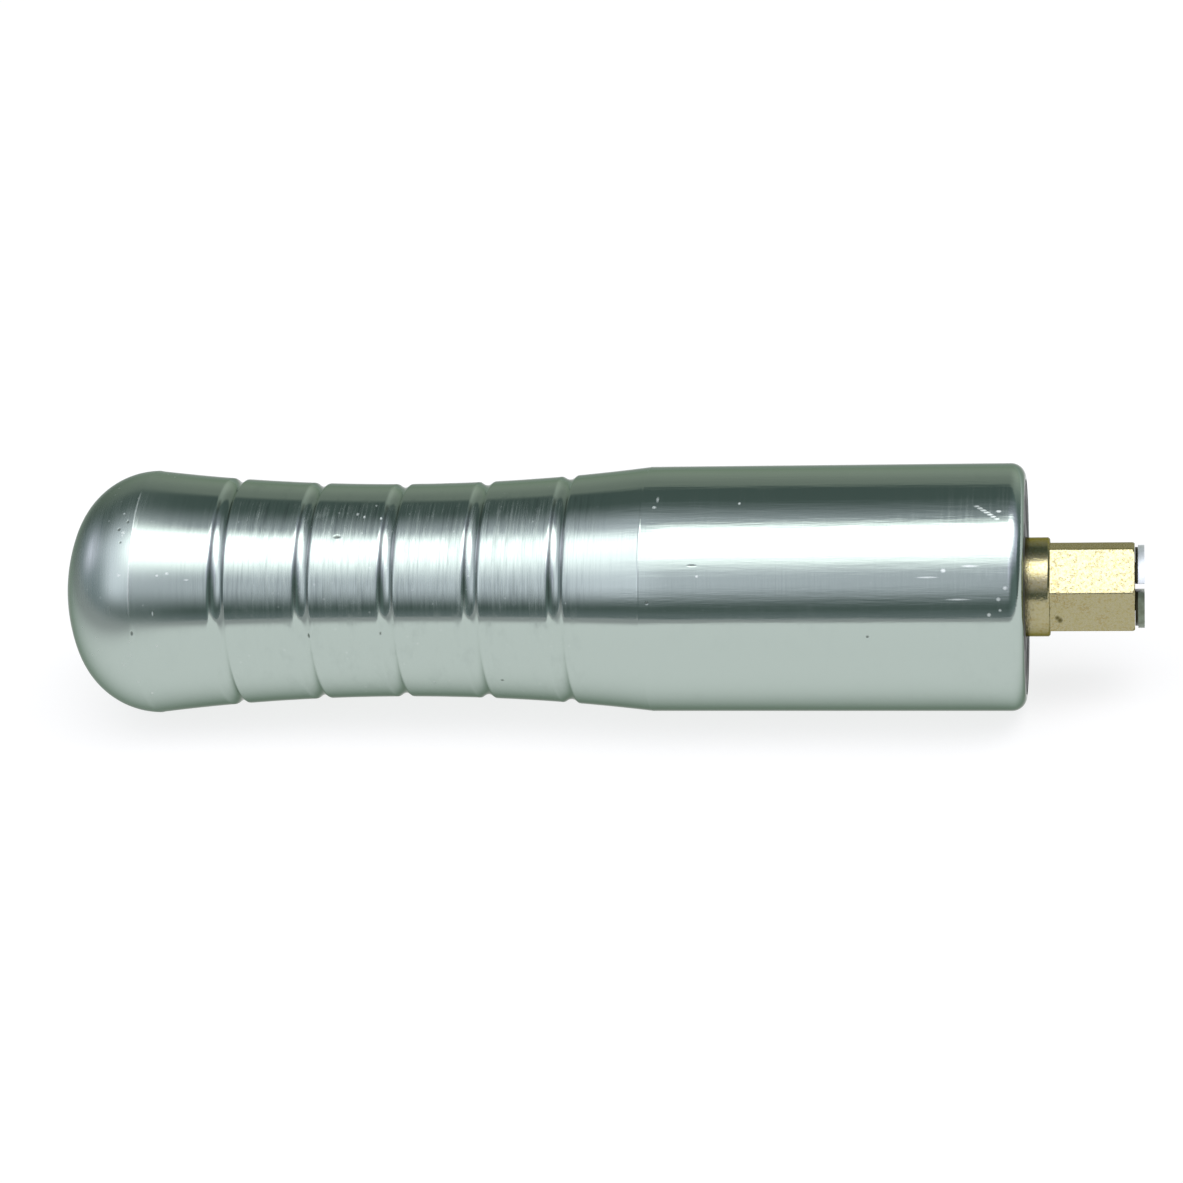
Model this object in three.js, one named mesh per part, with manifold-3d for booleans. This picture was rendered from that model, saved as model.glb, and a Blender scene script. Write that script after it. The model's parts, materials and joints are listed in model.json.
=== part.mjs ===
// Revolving grip of a winch handle, in millimetres.
//
// The axis of revolution is the X axis. The origin is on that axis, in the plane of the spindle collar's
// outer shoulder, where the crank arm seats. +X runs out through the hexagon into the arm, -X through the
// grip to its domed end, and +Z is up. The grip turns on two ball bearings round a fixed spindle.

import * as THREE from 'three';
import { mergeVertices } from 'three/addons/utils/BufferGeometryUtils.js';
import Module from 'manifold-3d';

const wasm = await Module();
wasm.setup();

// ---- Driving dimensions ----

const FIT = 0.05; // gap between pieces that are fixed to each other
const RUN = 0.15; // gap between pieces that turn past each other
const TURNED_SIDES = 32; // sides of a large turned piece
const SMALL_SIDES = 24; // sides of a small turned piece

// Grip, outside
const GRIP_RADIUS = 15;
const MOUTH_X = -2.85;
const TIP_X = -121.9;
const MOUTH_ROUNDING = 1.8;
const RIDGE_RADIUS = 15.15;
const DOME_CROWN_RADIUS = 21.7;
const DOME_CORNER_RADIUS = 10.15;
const WAIST_CENTRE_X = -78.6;
const WAIST_RADIUS = 13.2;
const WAIST_ARC_RADIUS = 255.3;
const GROOVE_COUNT = 5;
const GROOVE_PITCH = 10.41;
const GROOVE_CENTRE_X = -79.3;
const GROOVE_WIDTH = 2;
const GROOVE_DEPTH = 0.45;

// Spindle and end screw
const COLLAR_RADIUS = 6;
const COLLAR_CHAMFER = 0.2;
const HEX_ACROSS_FLATS = 10;
const HEX_LENGTH = 10.1;
const HEX_END_RADIUS = 5.4;
const HEX_CHAMFER_LENGTH = 0.4;
const HEX_FLAT_ELEVATION = 50; // degrees above the horizontal, on the -Y side, of one flat's normal
const THREAD_RADIUS = 3;
const THREAD_DEPTH = 12;
const SPINDLE_END_X = -109.5;
const SPINDLE_END_CHAMFER = 0.6;
const SCREW_HEAD_RADIUS = 5;
const SCREW_HEAD_THICKNESS = 0.76;
const SCREW_NECK_RADIUS = 4.75;
const SCREW_NECK_HEIGHT = 0.35;
const SCREW_SHANK_LENGTH = 10;
const SLOT_WIDTH = 1;
const SLOT_ELEVATION = 26; // degrees above the horizontal, towards -Y, of the slot's run

// Deep-groove ball bearings, as bore, outside diameter, width, ball diameter and number of balls
const MOUTH_BEARING = { name: 'mouth_bearing', bore: 10, outside: 26, width: 8, ball: 4.7625, balls: 7 };
const TIP_BEARING = { name: 'tip_bearing', bore: 8, outside: 19, width: 6, ball: 3.175, balls: 8 };

// Retaining rings, as clip thickness, groove width, groove radius, clip inner and outer radius
const MOUTH_CLIP = { thickness: 1.2, groove: 1.3, grooveRadius: 13.6, inner: 11.5, outer: 13.5, lug: 1.1 };
const JOURNAL_CLIP = { thickness: 1, groove: 1.1, grooveRadius: 4.8, inner: 4.86, outer: 6.3, lug: 0.95 };
const TIP_CLIP = { thickness: 0.8, groove: 0.9, grooveRadius: 3.8, inner: 3.86, outer: 5.1, lug: 0.8 };
const CLIP_LUG_HOLE = 0.4;

// Dust cover: a disc that fills the mouth flush, with a thicker rim
const COVER_RIM_DEPTH = 1.3;
const COVER_RIM_WALL = 1.6;
const COVER_WEB = 0.6;

// Wave washer at the blind end
const WASHER_INNER = 7.8;
const WASHER_OUTER = 9.3;
const WASHER_THICKNESS = 0.3;
const WASHER_WAVE = 0.35;
const WASHER_WAVES = 3;

// ---- Positions worked out from the driving dimensions ----

const CLIP_GROOVE_X = MOUTH_X - COVER_RIM_DEPTH - RUN;
MOUTH_BEARING.faceX = CLIP_GROOVE_X - MOUTH_CLIP.groove - FIT;
MOUTH_BEARING.x = MOUTH_BEARING.faceX - MOUTH_BEARING.width / 2;
const STEP_X = MOUTH_BEARING.faceX - MOUTH_BEARING.width - FIT;
const JOURNAL_GROOVE_X = STEP_X;
const JOURNAL_RADIUS = MOUTH_BEARING.bore / 2;

const TIP_JOURNAL_X = -100.45;
const TIP_JOURNAL_RADIUS = TIP_BEARING.bore / 2;
TIP_BEARING.x = TIP_JOURNAL_X - FIT - TIP_BEARING.width / 2;
const TIP_GROOVE_X = TIP_BEARING.x - TIP_BEARING.width / 2 - FIT;
const WASHER_SPACE = 2 * WASHER_WAVE + WASHER_THICKNESS + 0.3;
const BORE_END_X = TIP_BEARING.x - TIP_BEARING.width / 2 - WASHER_SPACE;
const RELIEF_RADIUS = 7.6;
const RELIEF_END_X = SPINDLE_END_X - 2;
const SCREW_SEAT_X = HEX_LENGTH + 0.04;

// ---- Helpers ----

const radians = THREE.MathUtils.degToRad;

// Points of an arc in the (x, r) plane, angles in degrees from the +X direction.
function arc(x, r, radius, from, to, steps) {
  return Array.from({ length: steps + 1 }, (_, i) => {
    const angle = radians(from + ((to - from) * i) / steps);
    return [x + radius * Math.cos(angle), r + radius * Math.sin(angle)];
  });
}

// Solid of revolution about X from a closed outline of [x, r] points, or one with both ends on the axis.
function turned(outline, sides = TURNED_SIDES) {
  const area = outline.reduce((sum, [x, r], i) => {
    const [nextX, nextR] = outline[(i + 1) % outline.length];
    return sum + x * nextR - nextX * r;
  }, 0);
  const ordered = area < 0 ? [...outline].reverse() : [...outline];
  const touchesAxis = outline[0][1] === 0 && outline[outline.length - 1][1] === 0;
  if (!touchesAxis) ordered.push(ordered[0]);
  const points = ordered.reverse().map(([x, r]) => new THREE.Vector2(r, x));
  return new THREE.LatheGeometry(points, sides).rotateZ(-Math.PI / 2);
}

// Closed rectangle in the (x, r) plane.
function tube(x0, x1, inner, outer) {
  return [[x0, inner], [x1, inner], [x1, outer], [x0, outer]];
}

function toSolid(geometry) {
  const bare = geometry.clone();
  bare.deleteAttribute('normal');
  bare.deleteAttribute('uv');
  const merged = mergeVertices(bare, 1e-4);
  const index = merged.index.array;
  const triangles = [];
  for (let i = 0; i < index.length; i += 3) {
    const [a, b, c] = [index[i], index[i + 1], index[i + 2]];
    if (a !== b && b !== c && c !== a) triangles.push(a, b, c);
  }
  return new wasm.Manifold(new wasm.Mesh({
    numProp: 3,
    vertProperties: new Float32Array(merged.attributes.position.array),
    triVerts: new Uint32Array(triangles),
  }));
}

function toGeometry(solid) {
  const mesh = solid.getMesh();
  const geometry = new THREE.BufferGeometry();
  geometry.setAttribute('position', new THREE.BufferAttribute(mesh.vertProperties, 3));
  geometry.setIndex(new THREE.BufferAttribute(mesh.triVerts, 1));
  geometry.computeVertexNormals();
  return geometry;
}

// ---- Materials ----

const metal = (color, roughness) => new THREE.MeshStandardMaterial({ color, roughness, metalness: 1 });
const ALUMINIUM = metal(0xc3cbc7, 0.2);
const BRASS = metal(0xb9ad68, 0.25);
const STEEL = metal(0x9aa3a0, 0.3);
const BEARING_STEEL = metal(0xb4b8ba, 0.15);
const BLACK_RUBBER = new THREE.MeshStandardMaterial({ color: 0x1f2422, roughness: 0.6, metalness: 0 });
const CAGE_PLASTIC = new THREE.MeshStandardMaterial({ color: 0x6b5a3c, roughness: 0.5, metalness: 0 });

const grip = new THREE.Group();
grip.name = 'revolving_grip';

function addPart(name, geometry, material) {
  const mesh = new THREE.Mesh(geometry, material);
  mesh.name = name;
  grip.add(mesh);
  return mesh;
}

// ---- Grip body ----

const waistRadiusAt = (x) => WAIST_RADIUS + WAIST_ARC_RADIUS
  - Math.sqrt(WAIST_ARC_RADIUS ** 2 - (x - WAIST_CENTRE_X) ** 2);

// Where the waist arc reaches the full radius of the plain cylinder.
function waistStartX() {
  const rise = GRIP_RADIUS - WAIST_RADIUS;
  return WAIST_CENTRE_X + Math.sqrt(WAIST_ARC_RADIUS ** 2 - (WAIST_ARC_RADIUS - rise) ** 2);
}

// The waist with its finger grooves. The ridge that ends it is the dome's first point.
function waistOutline() {
  const points = [[waistStartX(), GRIP_RADIUS]];
  for (let i = 0; i < GROOVE_COUNT; i += 1) {
    const x = GROOVE_CENTRE_X + GROOVE_PITCH * ((GROOVE_COUNT - 1) / 2 - i);
    points.push([x + GROOVE_PITCH / 2, waistRadiusAt(x + GROOVE_PITCH / 2)]);
    for (const step of [1, 0, -1]) {
      const depth = GROOVE_DEPTH * (1 - Math.abs(step));
      const grooveX = x + (step * GROOVE_WIDTH) / 2;
      points.push([grooveX, waistRadiusAt(grooveX) - depth]);
    }
  }
  return points;
}

// The domed end, from the ridge: a corner arc that runs into the flatter crown.
function domeOutline() {
  const cornerR = RIDGE_RADIUS - DOME_CORNER_RADIUS;
  const crownX = TIP_X + DOME_CROWN_RADIUS;
  const reach = DOME_CROWN_RADIUS - DOME_CORNER_RADIUS;
  const cornerX = crownX - Math.sqrt(reach ** 2 - cornerR ** 2);
  const blend = THREE.MathUtils.radToDeg(Math.asin(cornerR / reach));
  const corner = arc(cornerX, cornerR, DOME_CORNER_RADIUS, 90, 180 - blend, 5);
  const crown = arc(crownX, 0, DOME_CROWN_RADIUS, 180 - blend, 180, 3).slice(1, -1);
  return [...corner, ...crown, [TIP_X, 0]];
}

function gripBody() {
  const pocket = MOUTH_BEARING.outside / 2 + FIT;
  const bore = TIP_BEARING.outside / 2 + FIT;
  const clipEndX = CLIP_GROOVE_X - MOUTH_CLIP.groove;
  const roundingX = MOUTH_X - MOUTH_ROUNDING;
  return turned([
    [RELIEF_END_X, 0],
    [RELIEF_END_X, RELIEF_RADIUS],
    [BORE_END_X, RELIEF_RADIUS],
    [BORE_END_X, bore],
    [STEP_X, bore],
    [STEP_X, pocket],
    [clipEndX, pocket],
    [clipEndX, MOUTH_CLIP.grooveRadius],
    [CLIP_GROOVE_X, MOUTH_CLIP.grooveRadius],
    [CLIP_GROOVE_X, pocket],
    [MOUTH_X, pocket],
    ...arc(roundingX, GRIP_RADIUS - MOUTH_ROUNDING, MOUTH_ROUNDING, 0, 90, 3),
    ...waistOutline(),
    ...domeOutline(),
  ]);
}

addPart('grip_body', gripBody(), ALUMINIUM);

// ---- Dust cover in the grip's mouth ----

function dustCover() {
  const face = MOUTH_X - FIT;
  const rim = MOUTH_BEARING.outside / 2;
  return turned([
    [face, COLLAR_RADIUS + RUN],
    [face, rim],
    [face - COVER_RIM_DEPTH, rim],
    [face - COVER_RIM_DEPTH, rim - COVER_RIM_WALL],
    [face - COVER_WEB, rim - COVER_RIM_WALL],
    [face - COVER_WEB, COLLAR_RADIUS + RUN],
  ]);
}

addPart('dust_cover', dustCover(), BLACK_RUBBER);

// ---- Spindle ----

function spindleShaft() {
  const journalGrooveEnd = JOURNAL_GROOVE_X - JOURNAL_CLIP.groove;
  const tipGrooveEnd = TIP_GROOVE_X - TIP_CLIP.groove;
  const endRadius = TIP_JOURNAL_RADIUS - SPINDLE_END_CHAMFER;
  return turned([
    [0, 0],
    [0, COLLAR_RADIUS - COLLAR_CHAMFER],
    [-COLLAR_CHAMFER, COLLAR_RADIUS],
    [MOUTH_BEARING.faceX + FIT, COLLAR_RADIUS],
    [MOUTH_BEARING.faceX + FIT, JOURNAL_RADIUS],
    [JOURNAL_GROOVE_X, JOURNAL_RADIUS],
    [JOURNAL_GROOVE_X, JOURNAL_CLIP.grooveRadius],
    [journalGrooveEnd, JOURNAL_CLIP.grooveRadius],
    [journalGrooveEnd, JOURNAL_RADIUS],
    [TIP_JOURNAL_X, JOURNAL_RADIUS],
    [TIP_JOURNAL_X, TIP_JOURNAL_RADIUS],
    [TIP_GROOVE_X, TIP_JOURNAL_RADIUS],
    [TIP_GROOVE_X, TIP_CLIP.grooveRadius],
    [tipGrooveEnd, TIP_CLIP.grooveRadius],
    [tipGrooveEnd, TIP_JOURNAL_RADIUS],
    [SPINDLE_END_X + SPINDLE_END_CHAMFER, TIP_JOURNAL_RADIUS],
    [SPINDLE_END_X, endRadius],
    [SPINDLE_END_X, 0],
  ]);
}

// Hexagon with its end corners turned off to a cone.
function hexagon() {
  const overlap = 0.5; // reaches into the collar, so that the two join
  const cornerRadius = HEX_ACROSS_FLATS / 2 / Math.cos(Math.PI / 6);
  const length = HEX_LENGTH + overlap;
  const prism = new THREE.CylinderGeometry(cornerRadius, cornerRadius, length, 6)
    .rotateZ(-Math.PI / 2)
    .rotateX(radians(60 - HEX_FLAT_ELEVATION))
    .translate(length / 2 - overlap, 0, 0);
  const envelope = turned([
    [-2 * overlap, 0],
    [-2 * overlap, 2 * cornerRadius],
    [HEX_LENGTH - HEX_CHAMFER_LENGTH, cornerRadius],
    [HEX_LENGTH, HEX_END_RADIUS],
    [HEX_LENGTH, 0],
  ]);
  return toSolid(prism).intersect(toSolid(envelope));
}

function spindle() {
  const tappedHole = turned([
    [HEX_LENGTH - THREAD_DEPTH, 0],
    [HEX_LENGTH - THREAD_DEPTH, THREAD_RADIUS],
    [HEX_LENGTH + 1, THREAD_RADIUS],
    [HEX_LENGTH + 1, 0],
  ], SMALL_SIDES);
  return toGeometry(toSolid(spindleShaft()).add(hexagon()).subtract(toSolid(tappedHole)));
}

addPart('spindle', spindle(), BRASS);

// ---- Slotted screw in the end of the hexagon ----

function endScrew() {
  const headX = SCREW_SEAT_X + SCREW_NECK_HEIGHT;
  const topX = headX + SCREW_HEAD_THICKNESS;
  const shankRadius = THREAD_RADIUS - 2 * FIT;
  const body = turned([
    [SCREW_SEAT_X - SCREW_SHANK_LENGTH, 0],
    [SCREW_SEAT_X - SCREW_SHANK_LENGTH, shankRadius],
    [SCREW_SEAT_X, shankRadius],
    [SCREW_SEAT_X, SCREW_NECK_RADIUS],
    [headX, SCREW_NECK_RADIUS],
    [headX, SCREW_HEAD_RADIUS],
    [topX, SCREW_HEAD_RADIUS],
    [topX, 0],
  ], SMALL_SIDES);
  const slotDepth = topX - SCREW_SEAT_X + 0.02;
  const slot = new THREE.BoxGeometry(2 * slotDepth, 4 * SCREW_HEAD_RADIUS, SLOT_WIDTH)
    .rotateX(radians(-SLOT_ELEVATION))
    .translate(topX, 0, 0);
  return toGeometry(toSolid(body).subtract(toSolid(slot)));
}

addPart('end_screw', endScrew(), STEEL);

// ---- Ball bearings ----

// Race radii and widths that follow from a bearing's main dimensions.
function bearingPlan({ bore, outside, width, ball }) {
  const pitch = (bore + outside) / 4;
  const ballRadius = ball / 2;
  const shoulder = 0.75 * ballRadius; // height of the race shoulders above and below the pitch circle
  const pocketRadius = ballRadius + RUN;
  const cageHalf = 1.24 * pocketRadius;
  return {
    pitch,
    ballRadius,
    shoulder,
    cageHalf,
    pocketRadius,
    half: width / 2,
    raceRadius: ballRadius + RUN,
    sealInside: cageHalf + RUN,
    sealOutside: width / 2 - 0.15,
  };
}

// Race groove cut into a ring, from one side to the other; side is 1 for the outer ring and -1 for the inner.
function raceArc(plan, x, side) {
  const edge = THREE.MathUtils.radToDeg(Math.asin(plan.shoulder / plan.raceRadius));
  const from = side > 0 ? edge : -edge;
  const to = side > 0 ? 180 - edge : edge - 180;
  return arc(x, plan.pitch, plan.raceRadius, from, to, 4);
}

function bearingRing(bearing, side) {
  const plan = bearingPlan(bearing);
  const wall = side > 0 ? bearing.outside / 2 : bearing.bore / 2 + FIT;
  const land = plan.pitch + side * plan.shoulder;
  return turned([
    [bearing.x + plan.half, wall],
    [bearing.x + plan.half, land],
    ...raceArc(plan, bearing.x, side),
    [bearing.x - plan.half, land],
    [bearing.x - plan.half, wall],
  ]);
}

// Moulded cage: a ring with one round pocket for each ball.
function bearingCage(bearing) {
  const plan = bearingPlan(bearing);
  const reach = plan.shoulder / 3;
  const [inner, outer] = [plan.pitch - reach, plan.pitch + reach];
  let cage = toSolid(turned(tube(bearing.x - plan.cageHalf, bearing.x + plan.cageHalf, inner, outer)));
  for (let i = 0; i < bearing.balls; i += 1) {
    const pocket = new THREE.CylinderGeometry(plan.pocketRadius, plan.pocketRadius, 4 * reach, 12)
      .translate(0, plan.pitch, 0)
      .rotateX((2 * Math.PI * i) / bearing.balls)
      .translate(bearing.x, 0, 0);
    cage = cage.subtract(toSolid(pocket));
  }
  return toGeometry(cage);
}

function bearingSeal(bearing, side) {
  const plan = bearingPlan(bearing);
  const inner = plan.pitch - plan.shoulder + RUN;
  const outer = plan.pitch + plan.shoulder - FIT;
  const [near, far] = [bearing.x + side * plan.sealInside, bearing.x + side * plan.sealOutside];
  return turned(tube(Math.min(near, far), Math.max(near, far), inner, outer), SMALL_SIDES);
}

function addBearing(bearing) {
  const plan = bearingPlan(bearing);
  addPart(`${bearing.name}_outer_ring`, bearingRing(bearing, 1), BEARING_STEEL);
  addPart(`${bearing.name}_inner_ring`, bearingRing(bearing, -1), BEARING_STEEL);
  addPart(`${bearing.name}_cage`, bearingCage(bearing), CAGE_PLASTIC);
  addPart(`${bearing.name}_arm_side_seal`, bearingSeal(bearing, 1), BLACK_RUBBER);
  addPart(`${bearing.name}_tip_side_seal`, bearingSeal(bearing, -1), BLACK_RUBBER);
  for (let i = 0; i < bearing.balls; i += 1) {
    const angle = (2 * Math.PI * i) / bearing.balls;
    const sphere = new THREE.IcosahedronGeometry(plan.ballRadius, 1);
    const ball = addPart(`${bearing.name}_ball_${i + 1}`, sphere, BEARING_STEEL);
    ball.position.set(bearing.x, plan.pitch * Math.cos(angle), plan.pitch * Math.sin(angle));
  }
}

addBearing(MOUTH_BEARING);
addBearing(TIP_BEARING);

// ---- Retaining rings ----

// C-shaped ring with two holed lugs, facing inwards in a bore or outwards on a shaft.
function retainingRing(clip, x, lugsInward, openingDegrees) {
  const half = radians(openingDegrees / 2);
  const outline = new THREE.Shape();
  outline.absarc(0, 0, clip.outer, half, 2 * Math.PI - half, false);
  outline.absarc(0, 0, clip.inner, 2 * Math.PI - half, half, true);
  const flat = { depth: clip.thickness, bevelEnabled: false, curveSegments: 16 };
  let ring = toSolid(new THREE.ExtrudeGeometry(outline, flat));
  const lugCentre = lugsInward ? clip.inner - clip.lug / 3 : clip.outer + clip.lug / 3;
  const lugAngle = half + clip.lug / clip.outer;
  for (const side of [-1, 1]) {
    const place = [lugCentre * Math.cos(lugAngle), side * lugCentre * Math.sin(lugAngle)];
    const upright = (radius, height) => toSolid(
      new THREE.CylinderGeometry(radius, radius, height, 8)
        .rotateX(Math.PI / 2)
        .translate(...place, clip.thickness / 2),
    );
    ring = ring.add(upright(clip.lug, clip.thickness)).subtract(upright(CLIP_LUG_HOLE, 3 * clip.thickness));
  }
  return toGeometry(ring).rotateY(Math.PI / 2).translate(x - clip.thickness - FIT, 0, 0);
}

addPart('mouth_retaining_ring', retainingRing(MOUTH_CLIP, CLIP_GROOVE_X, true, 40), STEEL);
addPart('journal_retaining_ring', retainingRing(JOURNAL_CLIP, JOURNAL_GROOVE_X, false, 70), STEEL);
addPart('tip_retaining_ring', retainingRing(TIP_CLIP, TIP_GROOVE_X, false, 70), STEEL);

// ---- Wave washer that presses the tip bearing's outer ring towards the mouth ----

function waveWasher() {
  const x = (BORE_END_X + TIP_BEARING.x - TIP_BEARING.width / 2) / 2;
  const half = WASHER_THICKNESS / 2;
  const geometry = turned(tube(x - half, x + half, WASHER_INNER, WASHER_OUTER));
  const position = geometry.attributes.position;
  for (let i = 0; i < position.count; i += 1) {
    const angle = Math.atan2(position.getZ(i), position.getY(i));
    position.setX(i, position.getX(i) + WASHER_WAVE * Math.cos(WASHER_WAVES * angle));
  }
  return geometry;
}

addPart('wave_washer', waveWasher(), STEEL);

export default grip;
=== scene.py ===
"""Looks of the winch handle grip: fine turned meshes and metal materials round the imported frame."""

import json
import math

import bmesh
import bpy
from mathutils import Matrix, Vector


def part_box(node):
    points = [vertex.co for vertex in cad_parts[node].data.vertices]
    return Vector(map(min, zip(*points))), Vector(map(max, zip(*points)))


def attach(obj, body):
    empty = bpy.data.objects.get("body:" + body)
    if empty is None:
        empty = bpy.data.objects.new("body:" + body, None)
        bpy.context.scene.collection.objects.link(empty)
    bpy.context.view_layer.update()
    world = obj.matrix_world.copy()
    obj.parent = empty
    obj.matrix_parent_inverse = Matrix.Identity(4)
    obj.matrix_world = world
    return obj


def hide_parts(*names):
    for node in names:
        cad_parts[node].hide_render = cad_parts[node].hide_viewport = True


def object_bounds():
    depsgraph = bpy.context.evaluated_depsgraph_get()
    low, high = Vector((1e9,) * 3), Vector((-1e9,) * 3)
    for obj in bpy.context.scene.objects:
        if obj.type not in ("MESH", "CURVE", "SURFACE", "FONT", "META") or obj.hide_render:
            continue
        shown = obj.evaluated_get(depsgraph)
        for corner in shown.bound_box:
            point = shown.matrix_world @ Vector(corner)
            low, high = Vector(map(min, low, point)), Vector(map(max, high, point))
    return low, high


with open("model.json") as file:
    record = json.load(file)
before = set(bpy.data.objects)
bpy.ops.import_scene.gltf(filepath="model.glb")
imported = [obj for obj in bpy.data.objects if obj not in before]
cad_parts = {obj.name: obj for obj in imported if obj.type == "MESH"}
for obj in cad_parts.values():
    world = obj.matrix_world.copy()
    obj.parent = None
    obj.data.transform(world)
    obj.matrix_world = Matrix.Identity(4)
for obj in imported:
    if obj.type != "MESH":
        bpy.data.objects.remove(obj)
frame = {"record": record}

cad_low, cad_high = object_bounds()

MM = 0.001

# ---- Camera: where it stands, what it looks at ----

CAMERA_DISTANCE = 432.9 * MM  # from the axis of the grip
CAMERA_ALONG = 10.15 * MM  # along the axis, from the collar's shoulder
CAMERA_ELEVATION = math.radians(28.5)
CAMERA_YAW = math.radians(8.7)  # turned towards the domed end
CAMERA_PITCH = math.radians(-0.037)
CAMERA_ROLL = math.radians(0.3)
CAMERA_LENS = 108.15
CAMERA_SENSOR_WIDTH = 36.0

# ---- Sizes, in millimetres ----

FIT = 0.05  # gap between pieces that are fixed to each other
RUN = 0.15  # gap between pieces that turn past each other

# Grip
GRIP_RADIUS = 15.0
MOUTH_ROUNDING = 1.8
RIDGE_RADIUS = 15.15
RIDGE_WIDTH = 0.3
RIDGE_LIP = 0.07
DOME_CROWN_RADIUS = 21.7
DOME_CORNER_RADIUS = 10.15
WAIST_CENTRE_X = -78.6
WAIST_RADIUS = 13.2
WAIST_ARC_RADIUS = 255.3
GROOVE_COUNT = 5
GROOVE_PITCH = 10.41
GROOVE_CENTRE_X = -79.3
GROOVE_WIDTH = 2.0
GROOVE_DEPTH = 0.45
GROOVE_LIP = 0.04  # how softly the groove's lips are broken
GROOVES = tuple(GROOVE_CENTRE_X + GROOVE_PITCH * (i - (GROOVE_COUNT - 1) / 2) for i in range(GROOVE_COUNT))
CLIP_GROOVE_RADIUS = 13.6
RELIEF_RADIUS = 7.6
RELIEF_DEPTH = 2.0  # of the blind end past the spindle's end
WASHER_ROOM = 1.3

# Dust cover
COVER_WEB = 0.6
COVER_RIM = 1.6
COVER_PANEL_INNER = 7.9
COVER_PANEL_OUTER = 10.9
COVER_PANEL_DEPTH = 0.2
COVER_PANEL_SLOPE = 0.3

# Spindle and screw
COLLAR_RADIUS = 6.0
COLLAR_CHAMFER = 0.2
HEX_ACROSS_FLATS = 10.0
HEX_FLAT_DEGREES = 50.0  # above the horizontal, on the -Y side
HEX_EDGE_ROUNDING = 0.3
HEX_END_RADIUS = 5.42
HEX_END_EDGE = 0.06  # least chamfer at the hexagon's end
SPINDLE_END_CHAMFER = 0.6
JOURNAL_CLIP_GROOVE_RADIUS = 4.8
TIP_CLIP_GROOVE_RADIUS = 3.8
THREAD_RADIUS = 3.0
THREAD_DEPTH = 12.0
THREAD_CHAMFER = 0.3
SCREW_RADIUS = 5.0
SCREW_HEAD_THICKNESS = 0.76
SCREW_NECK_RADIUS = 4.75
SCREW_SEAT_GAP = 0.04
SLOT_WIDTH = 1.0
SLOT_DEGREES = 26.0
SLOT_OVERCUT = 0.02  # how far the slot reaches past the neck

# Deep-groove ball bearings: bore, outside diameter, ball diameter and number of balls
BEARINGS = {
    "mouth_bearing": {"bore": 10.0, "outside": 26.0, "ball": 4.7625, "balls": 7},
    "tip_bearing": {"bore": 8.0, "outside": 19.0, "ball": 3.175, "balls": 8},
}
SHOULDER = 0.75  # height of a race's shoulders from the pitch circle, over the ball's radius
BEARING_CORNER = 0.35
CAGE_REACH = 0.25  # half the cage's wall, over the ball's radius
POCKET_PLAY = 0.1
SEAL_GROOVE_DEPTH = 0.12
SEAL_GROOVE_SLOPE = 0.2  # width of the groove's sides, over the width of a lip

# Retaining rings: inner, outer and lug radius, whether the lugs point inward, and the gap in degrees
RETAINING_RINGS = {
    "mouth_retaining_ring": {"inner": 11.5, "outer": 13.5, "lug": 1.1, "inward": True, "gap": 40},
    "journal_retaining_ring": {"inner": 4.86, "outer": 6.3, "lug": 0.95, "inward": False, "gap": 70},
    "tip_retaining_ring": {"inner": 3.86, "outer": 5.1, "lug": 0.8, "inward": False, "gap": 70},
}
RING_TAPER = 0.3  # of a retaining ring's width, lost at its lugs
RING_EYE_RADIUS = 0.4

# Wave washer
WASHER_THICKNESS = 0.3
WASHER_WIDTH = 1.5
WASHER_WAVES = 3


def span(node):
    """Lowest and highest place of a CAD node along the axis, and its radius, in millimetres."""
    low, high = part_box(node)
    return low.x / MM, high.x / MM, high.z / MM


# ---- Turned meshes ----

SHARP_ANGLE = math.radians(30)  # between faces that are shaded apart
BEVEL_ANGLE = math.radians(40)  # between faces whose edge is rounded off


def rounded(points):
    """Outline of (x, r) points with each corner of (x, r, radius) rounded off."""
    count = len(points)
    outline = []
    for i, point in enumerate(points):
        here = Vector(point[:2])
        radius = point[2] if len(point) > 2 else 0.0
        if radius <= 0.0:
            outline.append(tuple(here))
            continue
        before = (Vector(points[i - 1][:2]) - here).normalized()
        after = (Vector(points[(i + 1) % count][:2]) - here).normalized()
        half = before.angle(after) / 2
        centre = here + (before + after).normalized() * (radius / math.sin(half))
        start = here + before * (radius / math.tan(half)) - centre
        end = here + after * (radius / math.tan(half)) - centre
        for step in range(5):
            spoke = start.lerp(end, step / 4).normalized() * radius
            outline.append(tuple(centre + spoke))
    return outline


def full_turn(segments):
    return [2 * math.pi * i / segments for i in range(segments)]


def turned(name, outline, angles=None, closed=True):
    """Object turned about the X axis from an outline of (x, r) millimetre points.

    The outline may be a function of the angle, and is open where it starts and ends on the axis."""
    angles = angles or full_turn(128)
    outline_at = outline if callable(outline) else lambda angle: outline
    mesh = bmesh.new()
    poles = {}
    columns = []
    for angle in angles:
        column = []
        for i, (x, r) in enumerate(outline_at(angle)):
            on_axis = r < 1e-6
            if on_axis and i in poles:
                column.append(poles[i])
                continue
            column.append(mesh.verts.new((x * MM, -r * MM * math.cos(angle), r * MM * math.sin(angle))))
            if on_axis:
                poles[i] = column[-1]
        columns.append(column)
    for one, two in zip(columns, columns[1:] + columns[:1]):
        rows = len(one) if closed else len(one) - 1
        for i in range(rows):
            j = (i + 1) % len(one)
            corners = list(dict.fromkeys([one[i], one[j], two[j], two[i]]))
            if len(corners) > 2:
                mesh.faces.new(corners)
    return finished(name, mesh)


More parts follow.
